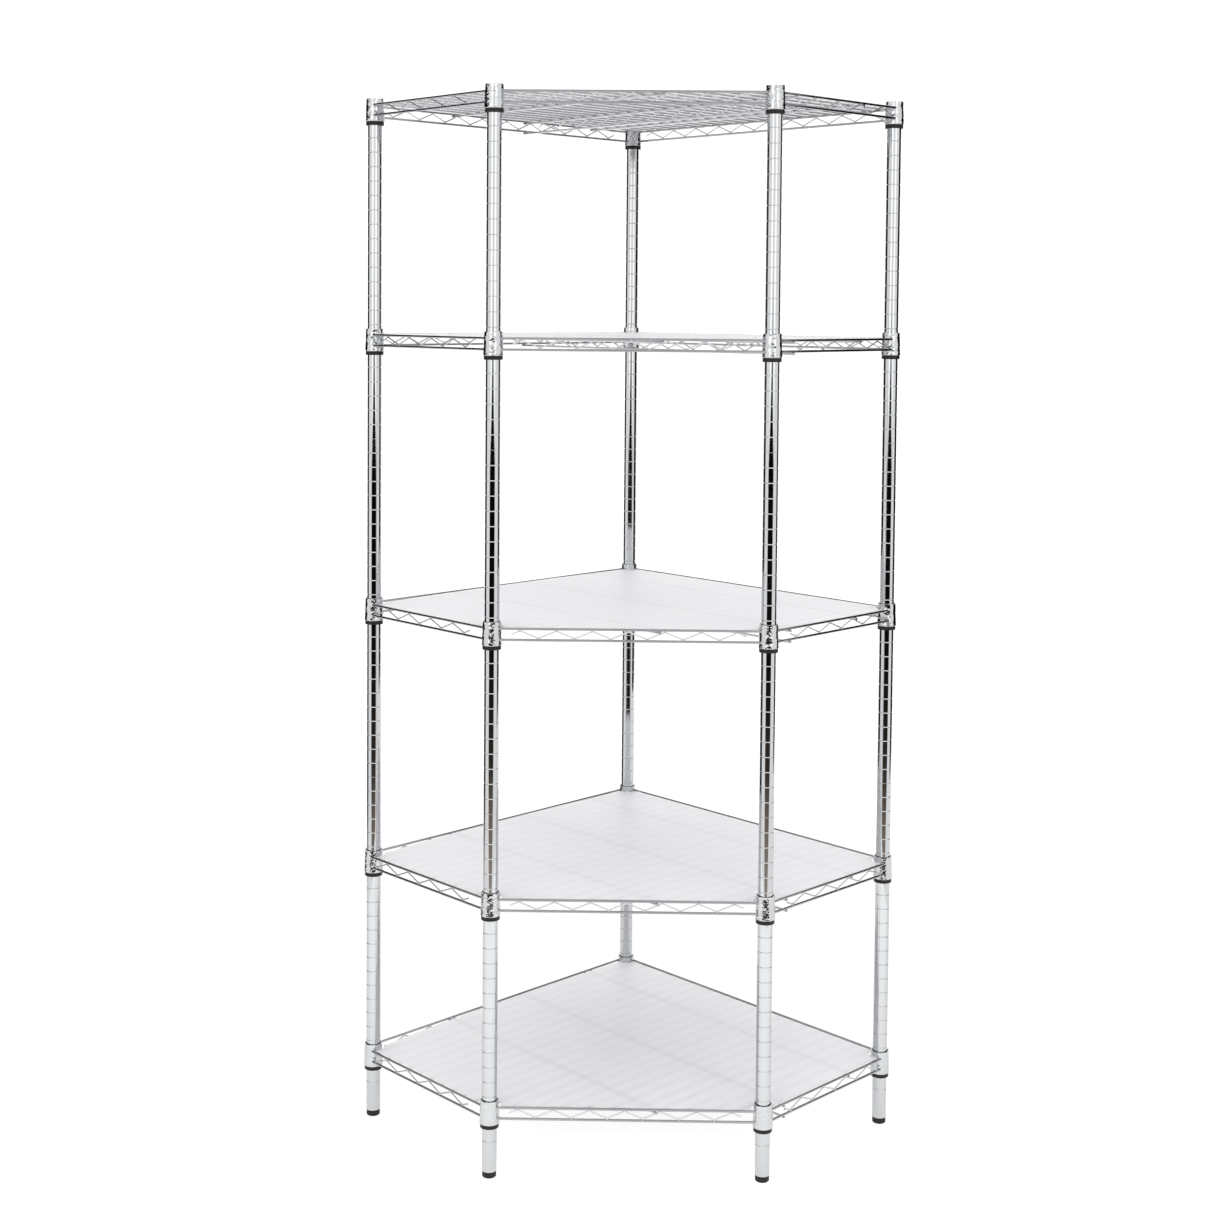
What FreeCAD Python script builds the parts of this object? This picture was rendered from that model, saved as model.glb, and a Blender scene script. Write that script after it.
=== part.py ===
"""Five-tier corner wire shelving rack: five grooved posts, five welded wire shelves with liners.

The plan is a square of side side_length with its front corner cut off. Two plan coordinates
run along the two back sides from the back post: u towards the left post, v towards the right
post. The row frame has +X to the right, +Y to the back and +Z up, with the floor at zero.
"""
import FreeCAD, Part
import Sketcher
import math
import os

from FreeCAD import Placement, Rotation, Vector

os.makedirs("parts", exist_ok=True)
doc = FreeCAD.newDocument("corner_shelving_rack")

# ---------------------------------------------------------------- driving dimensions (mm)
DIMENSIONS = {
    # plan, between post centres
    "side_length": 649.0,
    "short_side": 323.0,
    # posts
    "post_radius": 12.7,
    "post_bore_radius": 11.5,
    "post_bottom": 10.4,
    "post_top": 1831.0,
    "end_chamfer": 0.35,
    "groove_pitch": 25.4,
    "lowest_groove": 63.5,
    "groove_round": 1.0,
    "groove_depth": 0.5,
    # plugs inside the post tubes
    "plug_radius": 11.45,
    "joint_plug_length": 20.0,
    "joint_stud_radius": 6.0,
    "joint_bore_radius": 6.05,
    "joint_stud_length": 17.0,
    "joint_overlap": 1.0,
    "cap_radius": 12.5,
    "cap_height": 2.4,
    "cap_plug_length": 12.0,
    "cap_dome": 1.7,
    # levelling feet
    "foot_insert_length": 18.0,
    "foot_bore_radius": 4.78,
    "foot_stud_radius": 4.70,
    "foot_stud_bottom": 4.0,
    "foot_stud_length": 38.0,
    "foot_pad_radius": 12.0,
    "foot_pad_height": 10.0,
    "foot_socket_radius": 4.75,
    "foot_chamfer": 1.2,
    "foot_stud_chamfer": 1.0,
    # split sleeves, from the bottom of their flange
    "sleeve_flange_radius": 15.9,
    "sleeve_flange_height": 6.6,
    "sleeve_height": 46.0,
    "sleeve_base_radius": 15.2,
    "sleeve_tip_radius": 14.0,
    "sleeve_bore_radius": 12.75,
    "sleeve_ridge_height": 28.4,
    "sleeve_ridge_round": 0.8,
    "sleeve_ridge_depth": 0.4,
    "sleeve_split": 0.8,
    "sleeve_split_reach": 18.0,
    # shelf collars
    "collar_height": 40.0,
    "collar_base_radius": 17.15,
    "collar_tip_radius": 15.75,
    "collar_bore_base_radius": 15.55,
    "collar_bore_tip_radius": 14.35,
    "collar_edge_round": 1.2,
    # shelf wires, heights from the bottom of the sleeve flange
    "rail_radius": 2.2,
    "top_rail_height": 35.4,
    "bottom_rail_height": 16.8,
    "zigzag_radius": 1.3,
    "zigzag_bend": 4.0,
    "zigzag_pitch": 60.2,
    "support_radius": 2.2,
    "support_drop": 4.2,
    "support_tip": 0.8,
    "deck_radius": 1.4,
    "deck_drop": 0.6,
    "deck_pitch": 30.0,
    "weld_depth": 0.05,
    "wire_end_tuck": 1.65,
    # liner
    "liner_thickness": 1.0,
    "liner_gap": 0.05,
    "liner_notch_radius": 19.5,
}
DECK_WIRES = 21
JOINT_GROOVES = (22, 46)                  # grooves whose place a joint between sections takes
TOP_GROOVE = 69
SLEEVE_GROOVES = (2, 16, 34, 53, 69)      # the groove that each shelf's sleeves lock into
SUPPORT_PLACES = {"a": 458.0, "b": 280.5, "c": 103.0}   # u of each support; b is the truss
TRUSS_ZIGZAG = (40.0, 20, False)          # v of the first bend, bends, whether it starts low
RAIL_OFFSETS = {                          # of the rails outside the line between post centres
    "left_back": 13.5, "right_back": 12.5, "short_left": 10.0, "short_right": 10.0, "front": 8.5,
}
ZIGZAGS = {                               # first bend from the side's first post, bends, low first
    "left_back": (56.5, 19, True),
    "right_back": (41.0, 20, False),
    "short_left": (22.5, 9, True),
    "short_right": (22.5, 9, True),
    "front": (48.0, 13, False),
}

sheet = doc.addObject("Spreadsheet::Sheet", "Sheet")
for row, (alias, number) in enumerate(DIMENSIONS.items(), start=1):
    sheet.set(f"A{row}", alias)
    sheet.set(f"B{row}", str(number))
    sheet.setAlias(f"B{row}", alias)
doc.recompute()


def cell(alias):
    return float(sheet.get(alias))


SIDE, SHORT = cell("side_length"), cell("short_side")
BACK_Y = (SIDE + SHORT) / 2 / math.sqrt(2)
POSTS = {
    "left": (SIDE, 0.0),
    "front_left": (SIDE, SHORT),
    "front_right": (SHORT, SIDE),
    "right": (0.0, SIDE),
    "back": (0.0, 0.0),
}
SIDES = {                                 # first post, last post
    "left_back": ("back", "left"),
    "right_back": ("back", "right"),
    "short_left": ("left", "front_left"),
    "short_right": ("right", "front_right"),
    "front": ("front_left", "front_right"),
}


def plan(u, v, z=0.0):
    """The row-frame point of plan place u, v at height z."""
    return Vector((v - u) / math.sqrt(2), BACK_Y - (u + v) / math.sqrt(2), z)


def side_line(side):
    """Start, unit direction, length and outward unit normal of one side's rail line at z 0."""
    first, last = (plan(*POSTS[name]) for name in SIDES[side])
    run = last - first
    along = Vector(run).normalize()
    outward = Vector(along.y, -along.x, 0)
    if outward.dot((first + last) / 2) < 0:
        outward = -outward
    return first + outward * RAIL_OFFSETS[side], along, run.Length, outward


# ---------------------------------------------------------------- small makers
def bind(item, **cells):
    """Bind an object's properties to expressions of the sheet."""
    for prop, expression in cells.items():
        item.setExpression(prop.replace("__", "."), expression)
    return item


def solid(kind, name, **cells):
    return bind(doc.addObject(f"Part::{kind}", name), **cells)


def cylinder(name, radius, height, bottom="0"):
    return solid("Cylinder", name, Radius=radius, Height=height, Placement__Base__z=bottom)


def rod(name, radius, start, end):
    """A straight wire between two points."""
    item = solid("Cylinder", name, Radius=radius)
    item.Height = (end - start).Length
    item.Placement = Placement(start, Rotation(Vector(0, 0, 1), end - start))
    return item


def cut(name, base, tool):
    item = doc.addObject("Part::Cut", name)
    item.Base, item.Tool = base, tool
    return item


def group(name, items, at=None, height="0"):
    """Objects kept as separate solids under one name, with a place of their own."""
    item = doc.addObject("Part::Compound", name)
    item.Links = items
    if at is not None:
        item.Placement = Placement(at, Rotation())
    return bind(item, Placement__Base__z=height)


def edge_dressed(kind, name, base, edges, size):
    """A chamfer or fillet of one size on edges of a solid, given by number."""
    item = doc.addObject(f"Part::{kind}", name)
    item.Base = base
    item.Edges = [(number, size, size) for number in edges]
    return item


nodes = []


def node(item, name):
    item.Label = name
    nodes.append(item)
    return item


# numbers of the round edges at the ends of a Part cylinder and a Part cone
CYLINDER_BOTTOM_EDGE, CYLINDER_TOP_EDGE, CONE_BOTTOM_EDGE = 2, 3, 3


# ---------------------------------------------------------------- posts


def groove_height(number):
    return f"Sheet.lowest_groove + {number} * Sheet.groove_pitch"


def post_section(name, bottom, top, grooves):
    """A tube between two heights with a rounded groove round it at each groove number."""
    height = f"({top}) - ({bottom})"
    bar = cylinder(f"{name}_bar", "Sheet.post_radius", height, bottom)
    doc.recompute()
    ends = edge_dressed("Chamfer", f"{name}_ends", bar, (CYLINDER_TOP_EDGE, CYLINDER_BOTTOM_EDGE),
                        cell("end_chamfer"))
    bore = cylinder(f"{name}_bore", "Sheet.post_bore_radius", height, bottom)
    rings = [
        solid("Torus", f"{name}_groove_{number}",
              Radius1="Sheet.post_radius - Sheet.groove_depth + Sheet.groove_round",
              Radius2="Sheet.groove_round", Placement__Base__z=groove_height(number))
        for number in grooves
    ]
    return cut(name, ends, group(f"{name}_cuts", [bore, *rings]))


low_joint, high_joint = (groove_height(number) for number in JOINT_GROOVES)
sections = {
    "lower": post_section("section_lower", "Sheet.post_bottom", low_joint,
                          range(0, JOINT_GROOVES[0])),
    "middle": post_section("section_middle", low_joint, high_joint,
                           range(JOINT_GROOVES[0] + 1, JOINT_GROOVES[1])),
    "upper": post_section("section_upper", high_joint, "Sheet.post_top",
                          range(JOINT_GROOVES[1] + 1, TOP_GROOVE + 1)),
}
for post, place in POSTS.items():
    for level, section in sections.items():
        node(group(f"{post}_{level}", [section], plan(*place)), f"post_{post}_{level}")


def at_each_post(name, item, heights=("0",)):
    """One copy of an object at every post, for each of the heights."""
    return [
        group(f"{name}_{post}_{index}", [item], plan(*place), height)
        for index, height in enumerate(heights) for post, place in POSTS.items()
    ]


# sockets pressed into the lower tube's mouth, and stud plugs in the tube above, whose shanks
# run a little way into their plugs so that the two fuse
socket = cut(
    "joint_socket",
    cylinder("socket_plug", "Sheet.plug_radius", "Sheet.joint_plug_length",
             "-Sheet.joint_plug_length"),
    cylinder("socket_bore", "Sheet.joint_bore_radius", "Sheet.joint_plug_length",
             "-Sheet.joint_plug_length"),
)
stud_plug = doc.addObject("Part::Fuse", "joint_stud")
stud_plug.Base = cylinder("stud_plug", "Sheet.plug_radius", "Sheet.joint_plug_length")
stud_plug.Tool = cylinder("stud_shank", "Sheet.joint_stud_radius",
                          "Sheet.joint_stud_length + Sheet.joint_overlap", "-Sheet.joint_stud_length")
joint_heights = (low_joint, high_joint)
node(group("sockets", at_each_post("socket", socket, joint_heights)), "post_joint_sockets")
node(group("joint_studs", at_each_post("stud", stud_plug, joint_heights)), "post_joint_studs")

# caps in the tops of the posts, with a domed edge
cap_disc = cylinder("cap_disc", "Sheet.cap_radius", "Sheet.cap_height")
doc.recompute()
cap = doc.addObject("Part::Fuse", "cap")
cap.Base = edge_dressed("Fillet", "cap_dome", cap_disc, (CYLINDER_TOP_EDGE,),
                        cell("cap_dome"))
cap.Tool = cylinder("cap_plug", "Sheet.plug_radius", "Sheet.cap_plug_length",
                    "-Sheet.cap_plug_length")
node(group("caps", at_each_post("cap", cap, ("Sheet.post_top",))), "post_caps")

# ---------------------------------------------------------------- levelling feet
insert = cut(
    "foot_insert",
    cylinder("insert_plug", "Sheet.plug_radius", "Sheet.foot_insert_length"),
    cylinder("insert_bore", "Sheet.foot_bore_radius", "Sheet.foot_insert_length"),
)
node(group("foot_inserts", at_each_post("insert", insert, ("Sheet.post_bottom",))), "foot_inserts")


def origin_plane(body, role):
    return next(plane for plane in body.Origin.OriginFeatures if plane.Role == role)


def sketch_on(body, name, role="XY_Plane", offset=None):
    """A sketch on one of a body's own origin planes, raised by an expression."""
    item = body.newObject("Sketcher::SketchObject", name)
    item.AttachmentSupport = [(origin_plane(body, role), "")]
    item.MapMode = "FlatFace"
    if offset:
        item.setExpression("AttachmentOffset.Base.z", offset)
    return item


def add_circle(sketch, centre, radius):
    """A circle whose radius is bound to an expression of the sheet."""
    index = sketch.addGeometry(Part.Circle(centre, Vector(0, 0, 1), 1.0), False)
    constraint = sketch.addConstraint(Sketcher.Constraint("Radius", index, 1.0))
    sketch.setExpression(f"Constraints[{constraint}]", radius)


pad_body = doc.addObject("PartDesign::Body", "foot_pad")
pad_circle = sketch_on(pad_body, "pad_circle")
add_circle(pad_circle, Vector(0, 0, 0), "Sheet.foot_pad_radius")
pad_disc = pad_body.newObject("PartDesign::Pad", "pad_disc")
pad_disc.Profile = pad_circle
bind(pad_disc, Length="Sheet.foot_pad_height")
doc.recompute()
pad_edges = [
    f"Edge{index}" for index, edge in enumerate(pad_disc.Shape.Edges, start=1)
    if isinstance(edge.Curve, Part.Circle)
]
pad_chamfer = pad_body.newObject("PartDesign::Chamfer", "pad_chamfer")
pad_chamfer.Base = (pad_disc, pad_edges)
bind(pad_chamfer, Size="Sheet.foot_chamfer")
socket_circle = sketch_on(pad_body, "pad_socket_circle", offset="Sheet.foot_pad_height")
add_circle(socket_circle, Vector(0, 0, 0), "Sheet.foot_socket_radius")
pad_socket = pad_body.newObject("PartDesign::Pocket", "pad_socket")
pad_socket.Profile = socket_circle
bind(pad_socket, Length="Sheet.foot_pad_height - Sheet.foot_stud_bottom")

foot_stud = cylinder("foot_stud", "Sheet.foot_stud_radius", "Sheet.foot_stud_length",
                     "Sheet.foot_stud_bottom")
doc.recompute()
foot_stud_ends = edge_dressed("Chamfer", "foot_stud_ends", foot_stud, (CYLINDER_TOP_EDGE,),
                              cell("foot_stud_chamfer"))
for post, place in POSTS.items():
    node(group(f"stud_{post}", [foot_stud_ends], plan(*place)), f"foot_stud_{post}")
    node(group(f"pad_{post}", [pad_body], plan(*place)), f"foot_pad_{post}")

# ---------------------------------------------------------------- split sleeves
flange = cylinder("sleeve_flange", "Sheet.sleeve_flange_radius", "Sheet.sleeve_flange_height")
taper = solid("Cone", "sleeve_taper", Radius1="Sheet.sleeve_base_radius",
              Radius2="Sheet.sleeve_tip_radius",
              Height="Sheet.sleeve_height - Sheet.sleeve_flange_height",
              Placement__Base__z="Sheet.sleeve_flange_height")
sleeve_blank = doc.addObject("Part::Fuse", "sleeve_blank")
sleeve_blank.Base, sleeve_blank.Tool = flange, taper
sleeve_shell = cut("sleeve_shell", sleeve_blank,
                   cylinder("sleeve_bore", "Sheet.sleeve_bore_radius", "Sheet.sleeve_height"))
ridge = solid("Torus", "sleeve_ridge",
              Radius1="Sheet.sleeve_bore_radius - Sheet.sleeve_ridge_depth"
                      " + Sheet.sleeve_ridge_round",
              Radius2="Sheet.sleeve_ridge_round", Placement__Base__z="Sheet.sleeve_ridge_height")
sleeve_ridged = doc.addObject("Part::Fuse", "sleeve_ridged")
sleeve_ridged.Base, sleeve_ridged.Tool = sleeve_shell, ridge
split = solid("Box", "sleeve_split", Length="2 * Sheet.sleeve_split_reach",
              Width="Sheet.sleeve_split", Height="Sheet.sleeve_height",
              Placement__Base__x="-Sheet.sleeve_split_reach",
              Placement__Base__y="-Sheet.sleeve_split / 2")
sleeve = cut("sleeve", sleeve_ridged, split)   # two half-shells

# ---------------------------------------------------------------- one shelf at its own zero
collar_blank = solid("Cone", "collar_blank", Radius1="Sheet.collar_base_radius",
                     Radius2="Sheet.collar_tip_radius", Height="Sheet.collar_height",
                     Placement__Base__z="Sheet.sleeve_flange_height")
doc.recompute()
collar = cut(
    "collar",
    edge_dressed("Fillet", "collar_rounded", collar_blank, (CONE_BOTTOM_EDGE,),
                 cell("collar_edge_round")),
    solid("Cone", "collar_bore", Radius1="Sheet.collar_bore_base_radius",
          Radius2="Sheet.collar_bore_tip_radius", Height="Sheet.collar_height",
          Placement__Base__z="Sheet.sleeve_flange_height"),
)
collars = group("collars", at_each_post("collar", collar))
collar_blanks = group("collar_blanks", at_each_post("collar_blank", collar_blank))

RAIL_HEIGHTS = {"top": cell("top_rail_height"), "bottom": cell("bottom_rail_height")}
rail_bars = []
for side in SIDES:
    start, along, length, _ = side_line(side)
    for level, height in RAIL_HEIGHTS.items():
        lift = Vector(0, 0, height)
        rail_bars.append(rod(f"{side}_{level}_bar", "Sheet.rail_radius",
                             start + lift, start + along * length + lift))
rail_blanks = group("rail_blanks", rail_bars)
rails = cut("rails", rail_blanks, collar_blanks)


def offset_line_v(side, u):
    """The v at which a side's rail line crosses the support line at plan place u."""
    if side == "left_back":
        return -RAIL_OFFSETS[side]
    if side == "short_right":
        return SIDE + RAIL_OFFSETS[side]
    return SIDE + SHORT + RAIL_OFFSETS["front"] * math.sqrt(2) - u


# supports run from under the left back rail to under the front or the short right rail
support_height = RAIL_HEIGHTS["top"] - cell("support_drop")
truss_drop = RAIL_HEIGHTS["top"] - RAIL_HEIGHTS["bottom"]
reach = cell("rail_radius") + cell("support_tip")
support_bars = []
for letter, u in SUPPORT_PLACES.items():
    far_side = "short_right" if u < SHORT else "front"
    far_reach = reach * (math.sqrt(2) if far_side == "front" else 1)
    ends = offset_line_v("left_back", u) - reach, offset_line_v(far_side, u) + far_reach
    heights = [support_height, support_height - truss_drop] if letter == "b" else [support_height]
    for number, height in enumerate(heights):
        support_bars.append(rod(f"support_{letter}_{number}", "Sheet.support_radius",
                                plan(u, ends[0], height), plan(u, ends[1], height)))

# deck wires run across the supports, from the right back rail to the left or the front
deck_height = RAIL_HEIGHTS["top"] - cell("deck_drop")
tuck = cell("wire_end_tuck")              # how far short of a rail's centre line a wire ends
deck_bars = []
for index in range(DECK_WIRES):
    v = SIDE / 2 + (index - (DECK_WIRES - 1) / 2) * cell("deck_pitch")
    nearest = -RAIL_OFFSETS["right_back"] + tuck
    left_reach = SIDE + RAIL_OFFSETS["short_left"] - tuck
    front_reach = offset_line_v("front", v) - (tuck + cell("deck_radius")) * math.sqrt(2)
    deck_bars.append(rod(f"deck_{index}", "Sheet.deck_radius", plan(nearest, v, deck_height),
                         plan(min(left_reach, front_reach), v, deck_height)))
deck_blanks = group("deck_blanks", support_bars + deck_bars)


def zigzag(name, start, along, first, count, begin_low, low, high):
    """A wire bent up and down between two rails, with half a stroke left at each end.

    start and along give the line at z 0, first is the place of the first bend along it,
    count the number of bends and low and high the heights of the bends' crests.
    """
    stride = cell("zigzag_pitch") / 2
    radius = cell("zigzag_bend")
    slope = math.atan2(high - low, stride)
    crest_loss = radius * (1 / math.cos(slope) - 1)
    tangent = radius * math.tan(slope)
    tall = {True: low - crest_loss, False: high + crest_loss}
    middle = (low + high) / 2
    corners = [(first - stride / 2, middle)]
    for index in range(count):
        corners.append((first + index * stride, tall[begin_low == (index % 2 == 0)]))
    corners.append((first + (count - 0.5) * stride, middle))
    points = [start + along * place + Vector(0, 0, height) for place, height in corners]
    edges, last = [], points[0]
    for before, corner, after in zip(points, points[1:], points[2:]):
        back, ahead = (before - corner).normalize(), (after - corner).normalize()
        enter, leave = corner + back * tangent, corner + ahead * tangent
        crest = corner + (back + ahead).normalize() * crest_loss
        edges += [Part.LineSegment(last, enter).toShape(), Part.Arc(enter, crest, leave).toShape()]
        last = leave
    edges.append(Part.LineSegment(last, points[-1]).toShape())
    ring = Part.Circle(points[0], points[1] - points[0], cell("zigzag_radius")).toShape()
    wire = doc.addObject("Part::Feature", name)
    wire.Shape = Part.Wire(edges).makePipe(Part.Face(Part.Wire([ring])))
    return wire


crest_gap = cell("rail_radius") + cell("zigzag_radius") - cell("weld_depth")
crests = RAIL_HEIGHTS["bottom"] + crest_gap, RAIL_HEIGHTS["top"] - crest_gap
zigzags = []
for side, (first, count, begin_low) in ZIGZAGS.items():
    start, along, _, _ = side_line(side)
    zigzags.append(zigzag(f"{side}_zigzag", start, along, first, count, begin_low, *crests))

# the supports' ends are pressed into the rails, the collars and any bend that they cross
side_zigzags = group("side_zigzags", zigzags)
weld_tools = group("weld_tools", [rail_blanks, collar_blanks, side_zigzags])
deck = cut("deck", deck_blanks, weld_tools)
truss_start = plan(SUPPORT_PLACES["b"], 0)
truss_along = Vector(plan(0, 1) - plan(0, 0))
truss_crests = [height - cell("support_drop") for height in crests]
truss = zigzag("truss_zigzag", truss_start, truss_along, *TRUSS_ZIGZAG, *truss_crests)
collar_trimmed = cut("zigzags", group("zigzag_blanks", zigzags + [truss]), collar_blanks)

# ---------------------------------------------------------------- liner
LINER_OUTLINE = (                         # u, v of the sheet's corners, clockwise from the back
    (-4.0, 0.0), (16.0, 0.0), (170.0, -7.5), (430.0, -7.5), (SIDE, 9.0), (SIDE + 6.5, 9.0),
    (SIDE + 6.5, SHORT + 1.0), (SHORT + 1.0, SIDE + 6.5), (-4.0, SIDE + 6.5),
)
liner_body = doc.addObject("PartDesign::Body", "liner")
liner_height = "Sheet.top_rail_height - Sheet.deck_drop + Sheet.deck_radius + Sheet.liner_gap"
outline = sketch_on(liner_body, "liner_outline", offset=liner_height)
liner_corners = [plan(u, v) for u, v in LINER_OUTLINE]
for first, last in zip(liner_corners, liner_corners[1:] + liner_corners[:1]):
    outline.addGeometry(Part.LineSegment(first, last), False)
for index in range(len(liner_corners)):
    following = (index + 1) % len(liner_corners)
    outline.addConstraint(Sketcher.Constraint("Coincident", index, 2, following, 1))
liner_sheet = liner_body.newObject("PartDesign::Pad", "liner_sheet")
liner_sheet.Profile = outline
bind(liner_sheet, Length="Sheet.liner_thickness")
notches = sketch_on(liner_body, "liner_notches", offset=f"{liner_height} + Sheet.liner_thickness")
for place in POSTS.values():
    add_circle(notches, plan(*place), "Sheet.liner_notch_radius")
liner_notched = liner_body.newObject("PartDesign::Pocket", "liner_notched")
liner_notched.Profile = notches
liner_notched.Type = "ThroughAll"

# ---------------------------------------------------------------- the five shelves
for number, groove in enumerate(SLEEVE_GROOVES, start=1):
    height = f"{groove_height(groove)} - Sheet.sleeve_ridge_height"
    node(group(f"sleeves_{number}", at_each_post(f"sleeve_{number}", sleeve, (height,))),
         f"shelf_{number}_sleeves")
    for piece, item in (("collars", collars), ("rails", rails), ("zigzags", collar_trimmed),
                        ("deck_wires", deck), ("liner", liner_body)):
        node(group(f"shelf_{number}_{piece}_placed", [item], Vector(), height),
             f"shelf_{number}_{piece}")

# ---------------------------------------------------------------- check and write
doc.recompute()
failed = [item.Name for item in doc.Objects if {"Invalid", "Error"} & set(item.State)]
if failed:
    raise RuntimeError(f"objects failed to compute: {failed}")
for item in nodes:
    if item.Shape.isNull() or not item.Shape.isValid() or not item.Shape.Solids:
        raise RuntimeError(f"{item.Label} has no valid solid")
    solids = item.Shape.Solids
    whole = solids[0] if len(solids) == 1 else Part.makeCompound(solids)
    whole.exportStep(f"parts/{item.Label}.step")
    print(f"{item.Label:28} {len(solids):3d} solids {whole.Volume / 1000:9.2f} cm3")
print(f"{len(nodes)} nodes")
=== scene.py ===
# Corner wire shelving rack in bright chrome plate, with frosted liners, black sleeves and feet.
import math

import bpy
from mathutils import Matrix, Vector, noise
from mathutils.geometry import delaunay_2d_cdt


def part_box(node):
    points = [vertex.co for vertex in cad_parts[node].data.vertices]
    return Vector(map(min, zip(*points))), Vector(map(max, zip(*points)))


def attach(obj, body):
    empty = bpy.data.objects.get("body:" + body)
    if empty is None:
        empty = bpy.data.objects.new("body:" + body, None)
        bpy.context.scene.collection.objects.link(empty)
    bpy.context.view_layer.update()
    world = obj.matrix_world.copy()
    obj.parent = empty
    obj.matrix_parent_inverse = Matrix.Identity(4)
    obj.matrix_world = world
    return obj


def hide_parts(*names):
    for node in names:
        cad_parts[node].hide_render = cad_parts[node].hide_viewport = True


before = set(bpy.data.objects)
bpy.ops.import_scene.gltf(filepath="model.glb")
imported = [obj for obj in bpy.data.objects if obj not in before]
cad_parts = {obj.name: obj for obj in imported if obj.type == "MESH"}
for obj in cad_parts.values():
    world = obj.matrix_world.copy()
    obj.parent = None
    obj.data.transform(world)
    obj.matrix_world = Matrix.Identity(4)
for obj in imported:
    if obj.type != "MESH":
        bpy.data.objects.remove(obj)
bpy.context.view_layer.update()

mm = 0.001


def linearColour(hexText, alpha=1.0):
    # sRGB hex to the linear values that shaders use
    parts = [int(hexText[i:i + 2], 16) / 255 for i in (1, 3, 5)]
    return (*[p / 12.92 if p <= 0.04045 else ((p + 0.055) / 1.055) ** 2.4 for p in parts], alpha)


def addNode(tree, kind, inputs=None, **settings):
    # one node with its settings, its input values and its incoming links
    node = tree.nodes.new(kind)
    for name, value in settings.items():
        setattr(node, name, value)
    for name, value in (inputs or {}).items():
        if isinstance(value, bpy.types.NodeSocket):
            tree.links.new(value, node.inputs[name])
        else:
            node.inputs[name].default_value = value
    return node


def newMaterial(name):
    # an empty material with a shader and its output; returns material, tree, shader
    material = bpy.data.materials.new(name)
    material.use_nodes = True
    tree = material.node_tree
    tree.nodes.clear()
    shader = addNode(tree, "ShaderNodeBsdfPrincipled")
    addNode(tree, "ShaderNodeOutputMaterial", {"Surface": shader.outputs[0]})
    return material, tree, shader


chromePlate = {
    "colour": "#C8C9CA", "dullColour": "#BCBEC0",
    "roughness": (0.03, 0.08), "smudge": 90 * mm, "ripple": 7 * mm, "rippleHeight": 0.006 * mm,
}


def makeChromePlate(name, spec):
    # Bright chrome over nickel on steel, electroplated: mirror gloss, faint smudges and a slight
    # waviness of the tube under it that bends the reflections
    material, tree, shader = newMaterial(name)
    place = addNode(tree, "ShaderNodeTexCoord").outputs["Object"]
    smudge = addNode(tree, "ShaderNodeTexNoise", {
        "Vector": place, "Scale": 1 / spec["smudge"], "Detail": 5.0, "Roughness": 0.65})
    dull = addNode(tree, "ShaderNodeMapRange", {
        "Value": smudge.outputs["Fac"], "From Min": 0.35, "From Max": 0.7,
        "To Min": spec["roughness"][0], "To Max": spec["roughness"][1]})
    tint = addNode(tree, "ShaderNodeMix", {
        "Factor": smudge.outputs["Fac"], "A": linearColour(spec["colour"]),
        "B": linearColour(spec["dullColour"])}, data_type="RGBA")
    ripple = addNode(tree, "ShaderNodeTexNoise", {
        "Vector": place, "Scale": 1 / spec["ripple"], "Detail": 2.0})
    bump = addNode(tree, "ShaderNodeBump", {
        "Height": ripple.outputs["Fac"], "Distance": spec["rippleHeight"], "Strength": 1.0})
    shader.inputs["Metallic"].default_value = 1.0
    tree.links.new(tint.outputs["Result"], shader.inputs["Base Color"])
    tree.links.new(dull.outputs["Result"], shader.inputs["Roughness"])
    tree.links.new(bump.outputs["Normal"], shader.inputs["Normal"])
    return material


wirePlate = {**chromePlate, "roughness": (0.05, 0.12), "ripple": 3 * mm, "rippleHeight": 0.01 * mm}
materials = {
    "tubeChrome": makeChromePlate("tube_chrome_plate", chromePlate),
    "collarChrome": makeChromePlate("collar_chrome_plate", {
        **chromePlate, "roughness": (0.04, 0.1), "ripple": 8 * mm, "rippleHeight": 1.3 * mm}),
    "railChromeShaded": makeChromePlate("rail_chrome_painted_shade", {      # darker copy of the chrome plate: painted shade for the dark surroundings the rails mirror
        **wirePlate, "colour": "#B0B1B3", "dullColour": "#9E9FA1"}),
    "wireChromeLit": makeChromePlate("wire_chrome_painted_light", {      # brighter copy of the chrome plate: painted light for the bright highlights on the wires
        **wirePlate, "colour": "#D6D7D8", "dullColour": "#CACBCD"}),
}


sleeveNylon = {"colours": ("#0B0B0C", "#18181A"), "roughness": (0.32, 0.5),
               "grain": 1.2 * mm, "grainHeight": 0.02 * mm}
footPolyethylene = {"colours": ("#0D0D0E", "#1C1C1E"), "roughness": (0.42, 0.62),
                    "grain": 1.6 * mm, "grainHeight": 0.03 * mm}


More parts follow.
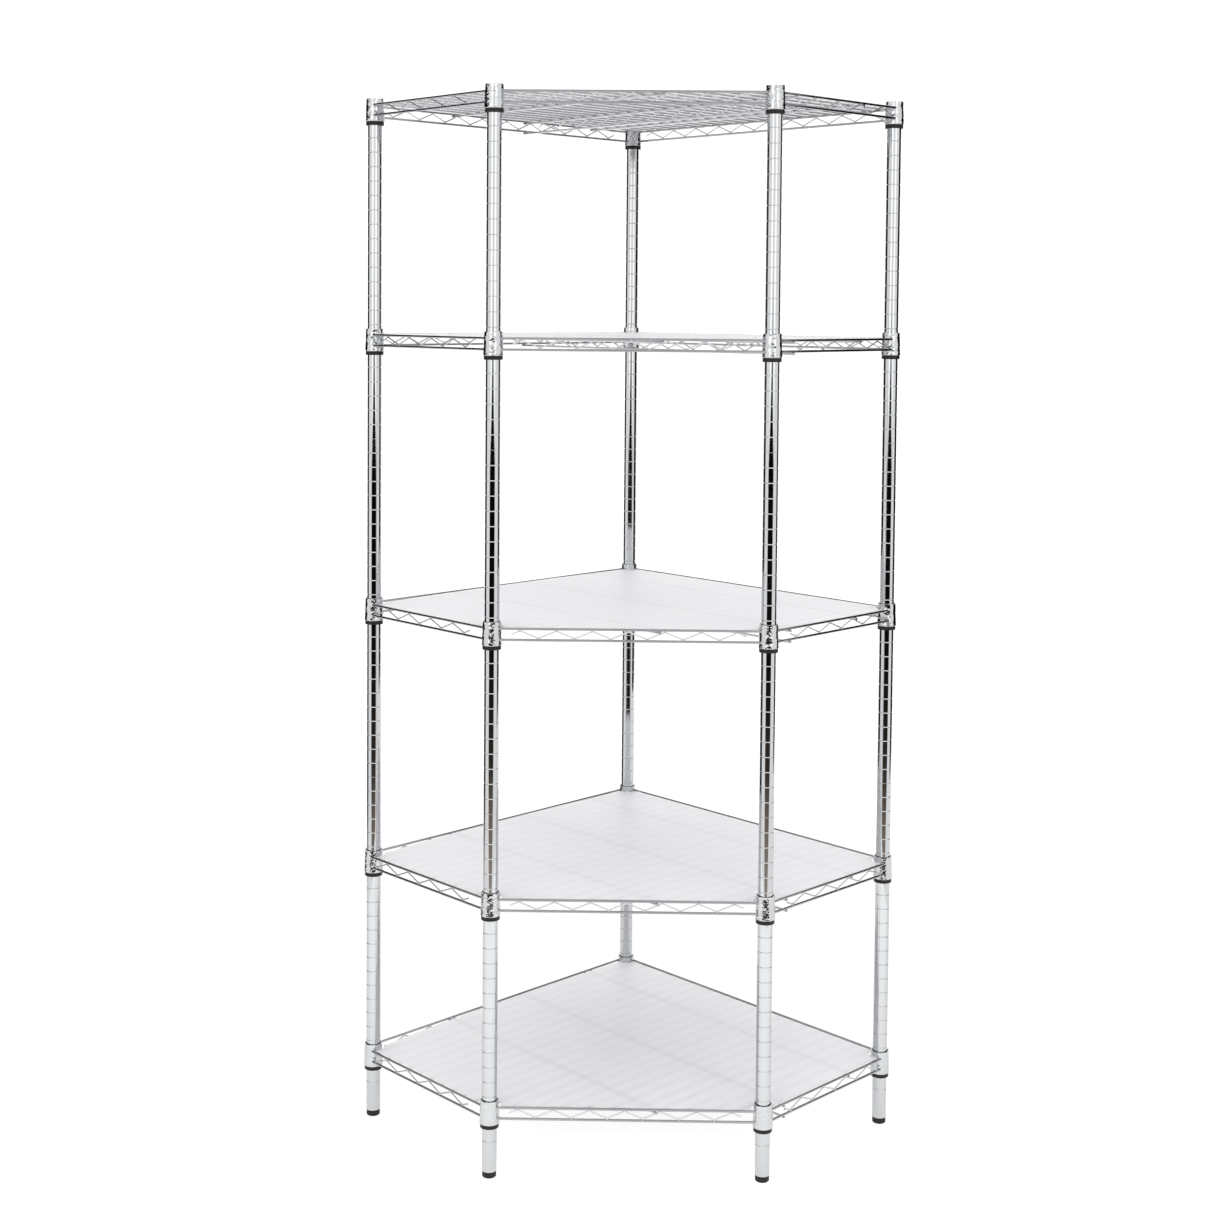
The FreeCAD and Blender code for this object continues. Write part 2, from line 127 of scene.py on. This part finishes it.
def makeMoulded(name, spec):
    # Injection-moulded black plastic from a spark-eroded mould: soft gloss broken by a fine grain,
    # drawn a little coarser than the real one so that it shows
    material, tree, shader = newMaterial(name)
    place = addNode(tree, "ShaderNodeTexCoord").outputs["Object"]
    grainNoise = addNode(tree, "ShaderNodeTexNoise", {
        "Vector": place, "Scale": 1 / spec["grain"], "Detail": 3.0, "Roughness": 0.6})
    bump = addNode(tree, "ShaderNodeBump", {
        "Height": grainNoise.outputs["Fac"], "Distance": spec["grainHeight"], "Strength": 0.6})
    rough = addNode(tree, "ShaderNodeMapRange", {
        "Value": grainNoise.outputs["Fac"],
        "To Min": spec["roughness"][0], "To Max": spec["roughness"][1]})
    shade = addNode(tree, "ShaderNodeMix", {
        "Factor": grainNoise.outputs["Fac"], "A": linearColour(spec["colours"][0]),
        "B": linearColour(spec["colours"][1])}, data_type="RGBA")
    tree.links.new(shade.outputs["Result"], shader.inputs["Base Color"])
    tree.links.new(rough.outputs["Result"], shader.inputs["Roughness"])
    tree.links.new(bump.outputs["Normal"], shader.inputs["Normal"])
    shader.inputs["IOR"].default_value = 1.49
    shader.inputs["Specular IOR Level"].default_value = 0.3
    return material


materials["sleevePlastic"] = makeMoulded("sleeve_nylon_moulded", sleeveNylon)
materials["footPlastic"] = makeMoulded("foot_polyethylene_moulded", footPolyethylene)

zincPlate = {"colours": ("#9DA0A2", "#B9BCBE"), "roughness": 0.34, "patch": 4 * mm}


def makeZincPlate(name, spec):
    # Bright zinc electroplated on turned steel: soft grey shine in slightly uneven patches
    material, tree, shader = newMaterial(name)
    place = addNode(tree, "ShaderNodeTexCoord").outputs["Object"]
    patches = addNode(tree, "ShaderNodeTexNoise", {
        "Vector": place, "Scale": 1 / spec["patch"], "Detail": 4.0})
    tint = addNode(tree, "ShaderNodeMix", {
        "Factor": patches.outputs["Fac"], "A": linearColour(spec["colours"][0]),
        "B": linearColour(spec["colours"][1])}, data_type="RGBA")
    tree.links.new(tint.outputs["Result"], shader.inputs["Base Color"])
    shader.inputs["Metallic"].default_value = 1.0
    shader.inputs["Roughness"].default_value = spec["roughness"]
    return material


materials["zincSteel"] = makeZincPlate("screw_zinc_plate", zincPlate)

rackPlan = {"side": 649 * mm, "short": 323 * mm, "deckPitch": 30 * mm,
            "supports": (458 * mm, 280.5 * mm, 103 * mm)}
side, short = rackPlan["side"], rackPlan["short"]
backCorner = (side + short) / 2 / math.sqrt(2)

# the sheet's colour carries a painted shadow of the wires under it: a darker colour, its width, and
# its strength over the deck wires and over the supports
frostedSheet = {
    "colours": ("#DADADD", "#E2E2E4"), "wireShadowColour": "#CFCFD3", "cloud": 120 * mm,
    "roughness": 0.45, "ior": 1.49, "transmission": 0.15, "scatter": 0.8, "scatterDepth": 2.5 * mm,
    "grain": 1.5 * mm, "grainHeight": 0.02 * mm,
    "wireShadowWidth": 11 * mm, "deckWireShadow": 0.25, "supportShadow": 0.35,
}


def makeFrostedSheet(name, spec):
    # Extruded polypropylene with a fine matt emboss: milky and lets light through, with a faint
    # soft-edged painted shadow of the deck wires and their supports under it mixed into its colour
    material, tree, shader = newMaterial(name)
    place = addNode(tree, "ShaderNodeTexCoord").outputs["Object"]
    axes = addNode(tree, "ShaderNodeSeparateXYZ", {"Vector": place}).outputs

    def along(sign):
        # plan distance from the back post: along v with +1, along u with -1
        turned = addNode(tree, "ShaderNodeMath", {0: axes["X"], 1: float(sign), 2: axes["Y"]},
                         operation="MULTIPLY_ADD").outputs[0]
        back = addNode(tree, "ShaderNodeMath", {0: turned, 1: -1.0, 2: backCorner},
                       operation="MULTIPLY_ADD").outputs[0]
        return addNode(tree, "ShaderNodeMath", {0: back, 1: 1 / math.sqrt(2)},
                       operation="MULTIPLY").outputs[0]

    def shadowLine(distance):
        # painted shadow strength: 1 on the line, fading out on both sides
        size = addNode(tree, "ShaderNodeMath", {0: distance}, operation="ABSOLUTE").outputs[0]
        return addNode(tree, "ShaderNodeMapRange", {
            "Value": size, "From Min": spec["wireShadowWidth"], "From Max": 0.0},
            interpolation_type="SMOOTHSTEP").outputs["Result"]

    firstWire = side / 2 % rackPlan["deckPitch"]
    pastFirst = addNode(tree, "ShaderNodeMath", {
        0: along(-1), 1: firstWire}, operation="SUBTRACT").outputs[0]
    fromWire = addNode(tree, "ShaderNodeMath", {
        0: pastFirst, 1: rackPlan["deckPitch"] / 2}, operation="ADD").outputs[0]
    wrapped = addNode(tree, "ShaderNodeMath", {
        0: fromWire, 1: rackPlan["deckPitch"], 2: 0.0}, operation="WRAP").outputs[0]
    offWire = addNode(tree, "ShaderNodeMath", {
        0: wrapped, 1: rackPlan["deckPitch"] / 2}, operation="SUBTRACT").outputs[0]
    # painted shadow of the deck wires under the sheet, then of each support
    paintedWireShadow = addNode(tree, "ShaderNodeMath", {
        0: shadowLine(offWire), 1: spec["deckWireShadow"]}, operation="MULTIPLY").outputs[0]
    for u in rackPlan["supports"]:
        off = addNode(tree, "ShaderNodeMath", {0: along(1), 1: u}, operation="SUBTRACT").outputs[0]
        paintedWireShadow = addNode(tree, "ShaderNodeMath", {
            0: shadowLine(off), 1: spec["supportShadow"], 2: paintedWireShadow}, operation="MULTIPLY_ADD").outputs[0]
    cloud = addNode(tree, "ShaderNodeTexNoise", {
        "Vector": place, "Scale": 1 / spec["cloud"], "Detail": 3.0})
    body = addNode(tree, "ShaderNodeMix", {
        "Factor": cloud.outputs["Fac"], "A": linearColour(spec["colours"][0]),
        "B": linearColour(spec["colours"][1])}, data_type="RGBA")
    # the painted wire shadow darkens the sheet's colour
    tint = addNode(tree, "ShaderNodeMix", {
        "Factor": paintedWireShadow, "A": body.outputs["Result"], "B": linearColour(spec["wireShadowColour"])},
        data_type="RGBA")
    grain = addNode(tree, "ShaderNodeTexNoise", {
        "Vector": place, "Scale": 1 / spec["grain"], "Detail": 2.0})
    bump = addNode(tree, "ShaderNodeBump", {
        "Height": grain.outputs["Fac"], "Distance": spec["grainHeight"], "Strength": 0.5})
    tree.links.new(tint.outputs["Result"], shader.inputs["Base Color"])
    tree.links.new(bump.outputs["Normal"], shader.inputs["Normal"])
    shader.inputs["Roughness"].default_value = spec["roughness"]
    shader.inputs["IOR"].default_value = spec["ior"]
    shader.inputs["Transmission Weight"].default_value = spec["transmission"]
    shader.inputs["Subsurface Weight"].default_value = spec["scatter"]
    shader.inputs["Subsurface Radius"].default_value = (1.0, 1.0, 1.0)
    shader.inputs["Subsurface Scale"].default_value = spec["scatterDepth"]
    return material


materials["frostedSheet"] = makeFrostedSheet("liner_polypropylene_frosted", frostedSheet)
print("materials:", ", ".join(sorted(materials)))

# the frame's own nodes take their finishes

finishOf = (
    ("post_caps", "sleevePlastic"), ("post_joint", "zincSteel"), ("post_", "tubeChrome"),
    ("foot_pad", "footPlastic"), ("foot_", "zincSteel"), ("sleeves", "sleevePlastic"),
    ("collars", "collarChrome"), ("liner", "frostedSheet"), ("rails", "railChromeShaded"),
    ("zigzags", "wireChromeLit"), ("deck_wires", "wireChromeLit"),
)
for name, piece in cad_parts.items():
    finish = next(value for key, value in finishOf if key in name)
    piece.data.materials.clear()
    piece.data.materials.append(materials[finish])
print("finishes on", len(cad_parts), "frame nodes")

# liners: the frame's flat sheets become thin, slightly wavy, frosted ones with bowed edges

posts = {"left": (side, 0), "front_left": (side, short), "front_right": (short, side),
         "right": (0, side), "back": (0, 0)}


def planPoint(u, v, z=0.0):
    # u runs from the back post along the left back side, v along the right back side
    return Vector(((v - u) / math.sqrt(2), backCorner - (u + v) / math.sqrt(2), z))


liner = {
    "thickness": 0.8 * mm, "wave": 0.1 * mm, "waveLength": 160 * mm,
    "backGap": 4 * mm, "frontOver": 6.5 * mm, "shortOver": 6.5 / 6 * mm,
    "bowStart": 16 * mm, "bow": 8 * mm, "bowEnd": -9 * mm, "bowSteps": 24,
    "notch": 19.5 * mm, "notchSteps": 20, "edgeStep": 3 * mm, "step": 14 * mm, "smoothAngle": 40,
}


def linerOutline(spec):
    # closed outline in the plan, walked at a fine step, with a round notch at every post
    corners = [(-spec["backGap"], 0.0)]
    for index in range(spec["bowSteps"] + 1):        # the left back edge bows out in its middle
        t = index / spec["bowSteps"]
        bow = spec["bow"] * 4 * t * (1 - t) + spec["bowEnd"] * t * t
        corners.append((spec["bowStart"] + t * (side - spec["bowStart"]), -bow))
    over, shortOver = spec["frontOver"], spec["shortOver"]
    corners += [(side + over, -spec["bowEnd"]), (side + over, short + shortOver),
                (short + shortOver, side + over), (-spec["backGap"], side + over)]
    points = []
    for (u0, v0), (u1, v1) in zip(corners, corners[1:] + corners[:1]):
        count = max(1, round(math.hypot(u1 - u0, v1 - v0) / spec["edgeStep"]))
        points += [planPoint(u0 + (u1 - u0) * k / count, v0 + (v1 - v0) * k / count).xy
                   for k in range(count)]
    centres = [planPoint(*place).xy for place in posts.values()]
    owner = [next((c for c in centres if (p - c).length < spec["notch"]), None) for p in points]
    first = next(k for k in range(len(points)) if owner[k - 1] is not None and owner[k] is None)
    points, owner = points[first:] + points[:first], owner[first:] + owner[:first]
    outline, k = [], 0
    while k < len(points):
        if owner[k] is None:
            outline.append(points[k])
            k += 1
            continue
        centre, before = owner[k], points[k - 1]
        while k < len(points) and owner[k] is not None:
            k += 1
        after = points[k % len(points)]
        start, end = (math.atan2(*(p - centre).yx) for p in (before, after))
        inward = math.atan2(*(-centre).yx)
        sweep = (end - start) % math.tau
        if (inward - start) % math.tau > sweep:
            sweep -= math.tau
        for index in range(1, spec["notchSteps"]):
            angle = start + sweep * index / spec["notchSteps"]
            outline.append(centre + spec["notch"] * Vector((math.cos(angle), math.sin(angle))))
    return outline


def makeLinerSheet(spec):
    # outline filled with an even grid, raised in slow waves, then given its thickness
    outline = linerOutline(spec)
    low = Vector((min(p.x for p in outline), min(p.y for p in outline)))
    high = Vector((max(p.x for p in outline), max(p.y for p in outline)))
    inner = []
    for row in range(1, int((high.y - low.y) / spec["step"])):
        for column in range(1, int((high.x - low.x) / spec["step"])):
            point = low + Vector((column, row)) * spec["step"]
            if min((point - p).length for p in outline) > spec["step"] * 0.5:
                inner.append(point)
    edges = [(k, (k + 1) % len(outline)) for k in range(len(outline))]
    flat, _, faces, *_ = delaunay_2d_cdt(outline + inner, edges, [], 1, 1e-6)
    sheet = bpy.data.meshes.new("liner_sheet")
    raised = []
    for point in flat:
        wave = noise.noise(Vector((point.x, point.y, 0)) / spec["waveLength"])
        raised.append((point.x, point.y, spec["wave"] * (1 + wave)))
    sheet.from_pydata(raised, [], faces)
    work = bpy.data.objects.new("liner_work", sheet)
    bpy.context.scene.collection.objects.link(work)
    solidify = work.modifiers.new("thickness", "SOLIDIFY")
    solidify.thickness, solidify.offset = spec["thickness"], 1.0
    bpy.context.view_layer.update()
    solid = bpy.data.meshes.new_from_object(
        work.evaluated_get(bpy.context.evaluated_depsgraph_get()))
    bpy.data.objects.remove(work)
    return solid


sheetMesh = makeLinerSheet(liner)
upward = sum(p.normal.z * p.area for p in sheetMesh.polygons if p.center.z > liner["thickness"])
if upward < 0:                             # the top face has to point up
    sheetMesh.flip_normals()
shelves = range(1, 6)
for number in shelves:
    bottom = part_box(f"shelf_{number}_liner")[0].z
    mesh = sheetMesh.copy()
    mesh.transform(Matrix.Translation((0, 0, bottom)))
    sheet = bpy.data.objects.new(f"liner_sheet_{number}", mesh)
    bpy.context.scene.collection.objects.link(sheet)
    mesh.materials.append(materials["frostedSheet"])
    with bpy.context.temp_override(object=sheet, selected_editable_objects=[sheet]):
        bpy.ops.object.shade_smooth_by_angle(angle=math.radians(liner["smoothAngle"]))
    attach(sheet, f"liner_{number}")
    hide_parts(f"shelf_{number}_liner")
print("liners:", len(shelves), "sheets of", len(sheetMesh.polygons), "faces")

# weld nuggets, where the wires cross and touch

wires = {
    "topRail": 35.4 * mm, "bottomRail": 16.8 * mm, "railRadius": 2.2 * mm, "deckDrop": 0.6 * mm,
    "deckRadius": 1.4 * mm, "deckCount": 21, "zigzagStride": 30.1 * mm,
}
railOffsets = {"left_back": 13.5 * mm, "right_back": 12.5 * mm, "short_left": 10 * mm,
               "short_right": 10 * mm, "front": 8.5 * mm}
zigzags = {                                # first post, last post, first bend, bends, first bend low
    "left_back": ("back", "left", 56.5 * mm, 19, True),
    "right_back": ("back", "right", 41 * mm, 20, False),
    "short_left": ("left", "front_left", 22.5 * mm, 9, True),
    "short_right": ("right", "front_right", 22.5 * mm, 9, True),
    "front": ("front_left", "front_right", 48 * mm, 13, False),
}
nugget = {
    "length": 2.3 * mm, "width": 1.7 * mm, "height": 1.0 * mm, "uneven": 0.25, "seed": 7,
    "frontClear": 8 * mm, "endShort": 2.64 * mm,     # kept off the front rail; short of a left rail
    "segments": 8, "rings": 5,
}


def nuggetPlaces(spec):
    # weld places of one shelf, measured from the bottom of its sleeves' flanges
    places = []
    contact = wires["topRail"] - wires["deckDrop"] - wires["deckRadius"]
    frontReach = side + short + railOffsets["front"] * math.sqrt(2)
    for index in range(wires["deckCount"]):
        v = side / 2 + (index - (wires["deckCount"] - 1) / 2) * rackPlan["deckPitch"]
        for u in rackPlan["supports"]:
            if u < frontReach - v - spec["frontClear"]:
                places.append(planPoint(u, v, contact))
        ends = (-railOffsets["right_back"] + wires["railRadius"],
                min(side + railOffsets["short_left"], frontReach - v) - spec["endShort"])
        places += [planPoint(u, v, wires["topRail"] - wires["deckDrop"]) for u in ends]
    for name, (first, last, start, count, low) in zigzags.items():
        a, b = planPoint(*posts[first]), planPoint(*posts[last])
        along = (b - a).normalized()
        outward = Vector((along.y, -along.x, 0))
        if outward.dot(a + b) < 0:
            outward = -outward
        for index in range(count):
            atBottom = low == (index % 2 == 0)
            height = (wires["bottomRail"] + wires["railRadius"] if atBottom
                      else wires["topRail"] - wires["railRadius"])
            place = a + outward * railOffsets[name] + along * (start + index * wires["zigzagStride"])
            places.append(Vector((place.x, place.y, height)))
    return places


def makeNuggetTree(spec):
    # nodes: one small squashed bead on every point, a little uneven in size and turn
    tree = bpy.data.node_groups.new("weld_nuggets", "GeometryNodeTree")
    face = tree.interface
    face.new_socket("Geometry", in_out="INPUT", socket_type="NodeSocketGeometry")
    for name in ("Length", "Width", "Height", "Uneven"):
        face.new_socket(name, in_out="INPUT", socket_type="NodeSocketFloat")
    face.new_socket("Finish", in_out="INPUT", socket_type="NodeSocketMaterial")
    face.new_socket("Geometry", in_out="OUTPUT", socket_type="NodeSocketGeometry")
    source = addNode(tree, "NodeGroupInput").outputs
    bead = addNode(tree, "GeometryNodeMeshUVSphere", {
        "Segments": spec["segments"], "Rings": spec["rings"], "Radius": 1.0})
    size = addNode(tree, "ShaderNodeCombineXYZ", {
        "X": source["Length"], "Y": source["Width"], "Z": source["Height"]})
    shaped = addNode(tree, "GeometryNodeTransform", {
        "Geometry": bead.outputs["Mesh"], "Scale": size.outputs[0]})
    smooth = addNode(tree, "GeometryNodeSetShadeSmooth", {"Geometry": shaped.outputs[0]})
    turn = addNode(tree, "FunctionNodeRandomValue", {
        "Min": (0, 0, 0), "Max": (0, 0, math.tau), "Seed": spec["seed"]}, data_type="FLOAT_VECTOR")
    smallest = addNode(tree, "ShaderNodeMath", {0: 1.0, 1: source["Uneven"]}, operation="SUBTRACT")
    largest = addNode(tree, "ShaderNodeMath", {0: 1.0, 1: source["Uneven"]}, operation="ADD")
    grow = addNode(tree, "FunctionNodeRandomValue", {"Seed": spec["seed"] + 1}, data_type="FLOAT")
    tree.links.new(smallest.outputs[0], grow.inputs[2])
    tree.links.new(largest.outputs[0], grow.inputs[3])
    beads = addNode(tree, "GeometryNodeInstanceOnPoints", {
        "Points": source["Geometry"], "Instance": smooth.outputs[0],
        "Rotation": turn.outputs["Value"], "Scale": grow.outputs[1]})
    real = addNode(tree, "GeometryNodeRealizeInstances", {"Geometry": beads.outputs[0]})
    finished = addNode(tree, "GeometryNodeSetMaterial", {
        "Geometry": real.outputs[0], "Material": source["Finish"]})
    addNode(tree, "NodeGroupOutput", {"Geometry": finished.outputs[0]})
    return tree


def runTree(tree, points, values):
    # a plain mesh from a node tree run on loose points
    mesh = bpy.data.meshes.new("points")
    mesh.from_pydata(points, [], [])
    work = bpy.data.objects.new("points", mesh)
    bpy.context.scene.collection.objects.link(work)
    modifier = work.modifiers.new("nodes", "NODES")
    modifier.node_group = tree
    for item in tree.interface.items_tree:
        if item.in_out == "INPUT" and item.name in values:
            modifier[item.identifier] = values[item.name]
    bpy.context.view_layer.update()
    result = bpy.data.meshes.new_from_object(
        work.evaluated_get(bpy.context.evaluated_depsgraph_get()))
    bpy.data.objects.remove(work)
    return result


weldPlaces = nuggetPlaces(nugget)
nuggetMesh = runTree(makeNuggetTree(nugget), weldPlaces, {
    "Length": nugget["length"], "Width": nugget["width"], "Height": nugget["height"],
    "Uneven": nugget["uneven"], "Finish": materials["wireChromeLit"]})
for number in shelves:
    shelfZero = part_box(f"shelf_{number}_rails")[0].z - wires["bottomRail"] + wires["railRadius"]
    mesh = nuggetMesh.copy()
    mesh.transform(Matrix.Translation((0, 0, shelfZero)))
    welds = bpy.data.objects.new(f"weld_nuggets_{number}", mesh)
    bpy.context.scene.collection.objects.link(welds)
    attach(welds, f"shelf_{number}")
print("weld nuggets:", len(weldPlaces), "on each shelf")

# studio: round pale floor, one black card, and a surround whose dark parts the chrome mirrors

floorPaper = {
    "radius": 1.7, "vertices": 96, "colour": "#9C9C9C", "roughness": 0.7,
    "glow": (1.02, 0.58), "glowFrom": -1.1, "glowTo": 0.5,       # painted light: the floor glows brighter in front of the rack
}


def makeFloorPaper(name, spec):
    # Matt paper with a painted glow, brighter in front of the rack, so that the rack's shadow stays
    # faint
    material, tree, shader = newMaterial(name)
    shader.inputs["Base Color"].default_value = linearColour(spec["colour"])
    shader.inputs["Roughness"].default_value = spec["roughness"]
    shader.inputs["Emission Color"].default_value = linearColour("#FFFFFF")
    place = addNode(tree, "ShaderNodeTexCoord").outputs["Object"]
    axes = addNode(tree, "ShaderNodeSeparateXYZ", {"Vector": place}).outputs
    glow = addNode(tree, "ShaderNodeMapRange", {
        "Value": axes["Y"], "From Min": spec["glowFrom"], "From Max": spec["glowTo"],
        "To Min": spec["glow"][0], "To Max": spec["glow"][1]}, interpolation_type="SMOOTHSTEP")
    tree.links.new(glow.outputs["Result"], shader.inputs["Emission Strength"])
    return material


bpy.ops.mesh.primitive_circle_add(
    vertices=floorPaper["vertices"], radius=floorPaper["radius"], fill_type="NGON")
floor = bpy.context.object
floor.name = "studio_floor"
floor.data.materials.append(makeFloorPaper("floor_paper_matt", floorPaper))

blackCard = {"x": 1.5, "y": (-0.2, 1.25), "z": (0.36, 2.8), "colour": "#050505"}


def makeBlackCard(name, spec):
    # black felt on a stand to the right, which only reflections see
    material, tree, shader = newMaterial("flag_black_felt")
    shader.inputs["Base Color"].default_value = linearColour(spec["colour"])
    shader.inputs["Specular IOR Level"].default_value = 0.0
    (front, back), (bottom, top) = spec["y"], spec["z"]
    mesh = bpy.data.meshes.new(name)
    mesh.from_pydata([(spec["x"], front, bottom), (spec["x"], back, bottom),
                      (spec["x"], back, top), (spec["x"], front, top)], [], [(0, 1, 2, 3)])
    mesh.materials.append(material)
    card = bpy.data.objects.new(name, mesh)
    bpy.context.scene.collection.objects.link(card)
    for ray in ("camera", "diffuse", "transmission", "volume_scatter", "shadow"):
        setattr(card, f"visible_{ray}", False)
    return card


makeBlackCard("studio_flag_right", blackCard)

surround = {                               # angles in degrees, 0 towards the camera's side
    "white": 1.2, "fill": 1.45,            # seen behind the rack; falling on matt surfaces
    "softboxMiddle": 27.0,
    "roomHalfWidths": ((-30, 0), (-23, 0), (-19, 16), (-17, 30), (-14, 39), (-5, 40), (-3.6, 20),
                       (-2, 9), (0, 3), (1.5, 0), (10, 0)),
    "roomWidest": 60.0, "roomHeights": (-23.0, -4.0),
    "roomColours": ((0.0, "#CFC8BF"), (0.2, "#BDB3A8"), (0.36, "#8A7E72"), (0.45, "#3A322B"),
                    (0.62, "#161311"), (1.0, "#060606")),
    "curtainEdge": (-92.0, -60.0), "curtainWidens": (8.0, 14.0),
    "layers": (                            # brightness, then soft edges: measure, none at, full at
        (0.5, (("elevation", 40.0, 65.0),)),                                  # ceiling
        (1.95, (("offSoftbox", 16.0, 6.4), ("elevation", -6.0, 0.0))),        # softboxes
        (None, (("offRoom", 1.5, -4.0),)),                                    # dark room
        (0.01, (("offCurtain", 2.0, -2.0), ("azimuth", -144.0, -140.0),       # dark curtain
                ("elevation", -19.0, -15.0), ("elevation", 48.0, 38.0))),
    ),
}


def makeSurround(name, spec):
    # light by direction: white walls and two softboxes, with a dark room behind the camera and a
    # dark curtain on the left for the chrome to mirror
    world = bpy.data.worlds.new(name)
    world.use_nodes = True
    tree = world.node_tree
    tree.nodes.clear()
    direction = addNode(tree, "ShaderNodeTexCoord").outputs["Generated"]
    axes = addNode(tree, "ShaderNodeSeparateXYZ", {"Vector": direction}).outputs
    towardsCamera = addNode(tree, "ShaderNodeMath", {0: axes["Y"], 1: -1.0}, operation="MULTIPLY")
    turn = addNode(tree, "ShaderNodeMath", {
        0: axes["X"], 1: towardsCamera.outputs[0]}, operation="ARCTAN2").outputs[0]
    rise = addNode(tree, "ShaderNodeMath", {0: axes["Z"]}, operation="ARCSINE").outputs[0]
    azimuth, elevation = (addNode(tree, "ShaderNodeMath", {
        0: angle, 1: 180 / math.pi}, operation="MULTIPLY").outputs[0] for angle in (turn, rise))
    azimuthSize = addNode(tree, "ShaderNodeMath", {0: azimuth}, operation="ABSOLUTE").outputs[0]

    # the room's outline: its half width follows a curve over the elevation
    (lowest, _), (highest, _) = spec["roomHalfWidths"][0], spec["roomHalfWidths"][-1]
    height = addNode(tree, "ShaderNodeMapRange", {
        "Value": elevation, "From Min": float(lowest), "From Max": float(highest)})
    outline = addNode(tree, "ShaderNodeFloatCurve", {"Value": height.outputs["Result"]})
    places = [((a - lowest) / (highest - lowest), b / spec["roomWidest"])
              for a, b in spec["roomHalfWidths"]]
    points = outline.mapping.curves[0].points
    points[0].location, points[1].location = places[0], places[-1]
    for place in places[1:-1]:
        points.new(*place)
    for point in points:
        point.handle_type = "VECTOR"
    outline.mapping.update()
    halfWidth = addNode(tree, "ShaderNodeMath", {
        0: outline.outputs["Value"], 1: spec["roomWidest"]}, operation="MULTIPLY").outputs[0]

    # inside the room it is lighter towards the floor
    roomHeight = addNode(tree, "ShaderNodeMapRange", {
        "Value": elevation, "From Min": spec["roomHeights"][0], "From Max": spec["roomHeights"][1]})
    roomShade = addNode(tree, "ShaderNodeValToRGB", {"Fac": roomHeight.outputs["Result"]})
    shades = roomShade.color_ramp.elements
    shades[0].color, shades[1].color = (linearColour(spec["roomColours"][k][1]) for k in (0, -1))
    for position, colour in spec["roomColours"][1:-1]:
        shades.new(position).color = linearColour(colour)

    # the curtain reaches further to the front above the heights that the posts mirror
    curtainEdge = addNode(tree, "ShaderNodeMapRange", {
        "Value": elevation, "From Min": spec["curtainWidens"][0], "From Max": spec["curtainWidens"][1],
        "To Min": spec["curtainEdge"][0], "To Max": spec["curtainEdge"][1]}).outputs["Result"]
    measures = {"azimuth": azimuth, "elevation": elevation}
    for measure, value, edge in (("pastSoftbox", azimuthSize, spec["softboxMiddle"]),
                                 ("offRoom", azimuthSize, halfWidth),
                                 ("offCurtain", azimuth, curtainEdge)):
        measures[measure] = addNode(tree, "ShaderNodeMath", {
            0: value, 1: edge}, operation="SUBTRACT").outputs[0]
    measures["offSoftbox"] = addNode(tree, "ShaderNodeMath", {
        0: measures["pastSoftbox"]}, operation="ABSOLUTE").outputs[0]

    shade = (spec["white"], spec["white"], spec["white"], 1.0)
    for brightness, edges in spec["layers"]:
        mask = 1.0
        for measure, none, full in edges:
            edge = addNode(tree, "ShaderNodeMapRange", {
                "Value": measures[measure], "From Min": none, "From Max": full},
                interpolation_type="SMOOTHSTEP").outputs["Result"]
            mask = addNode(tree, "ShaderNodeMath", {0: edge, 1: mask}, operation="MULTIPLY").outputs[0]
        colour = (roomShade.outputs["Color"] if brightness is None
                  else (brightness, brightness, brightness, 1.0))
        shade = addNode(tree, "ShaderNodeMix", {
            "Factor": mask, "A": shade, "B": colour}, data_type="RGBA").outputs["Result"]
    rays = addNode(tree, "ShaderNodeLightPath").outputs
    for ray, brightness in (("Is Diffuse Ray", spec["fill"]), ("Is Camera Ray", spec["white"])):
        shade = addNode(tree, "ShaderNodeMix", {
            "Factor": rays[ray], "A": shade, "B": (brightness, brightness, brightness, 1.0)},
            data_type="RGBA").outputs["Result"]
    light = addNode(tree, "ShaderNodeBackground", {"Color": shade, "Strength": 1.0})
    addNode(tree, "ShaderNodeOutputWorld", {"Surface": light.outputs[0]})
    return world


bpy.context.scene.world = makeSurround("studio_surround", surround)
print("studio ready")

viewpoint = {                              # metres, degrees, and a lens in mm on a 36 mm sensor
    "place": (-0.0116, -3.340, 1.472), "turn": -0.99, "tilt": -2.75, "roll": 0.44,
    "lens": 53.74, "sensor": 36.0, "shift": (0.0108, -0.1766),
}
turnAngle, tiltAngle, rollAngle = (math.radians(viewpoint[key]) for key in ("turn", "tilt", "roll"))
ahead = Vector((math.sin(turnAngle) * math.cos(tiltAngle),
                math.cos(turnAngle) * math.cos(tiltAngle), math.sin(tiltAngle)))
level = Vector((math.cos(turnAngle), -math.sin(turnAngle), 0))
above = level.cross(ahead)
sideAxis = math.cos(rollAngle) * level + math.sin(rollAngle) * above
topAxis = math.cos(rollAngle) * above - math.sin(rollAngle) * level
lens = bpy.data.cameras.new("camera")
lens.lens, lens.sensor_width = viewpoint["lens"], viewpoint["sensor"]
lens.shift_x, lens.shift_y = viewpoint["shift"]
camera = bpy.data.objects.new("camera", lens)
camera.matrix_world = Matrix.Translation(viewpoint["place"]) @ Matrix(
    (sideAxis, topAxis, -ahead)).transposed().to_4x4()
bpy.context.scene.collection.objects.link(camera)
bpy.context.scene.camera = camera
bpy.context.scene.view_settings.view_transform = "Standard"
print("camera placed")
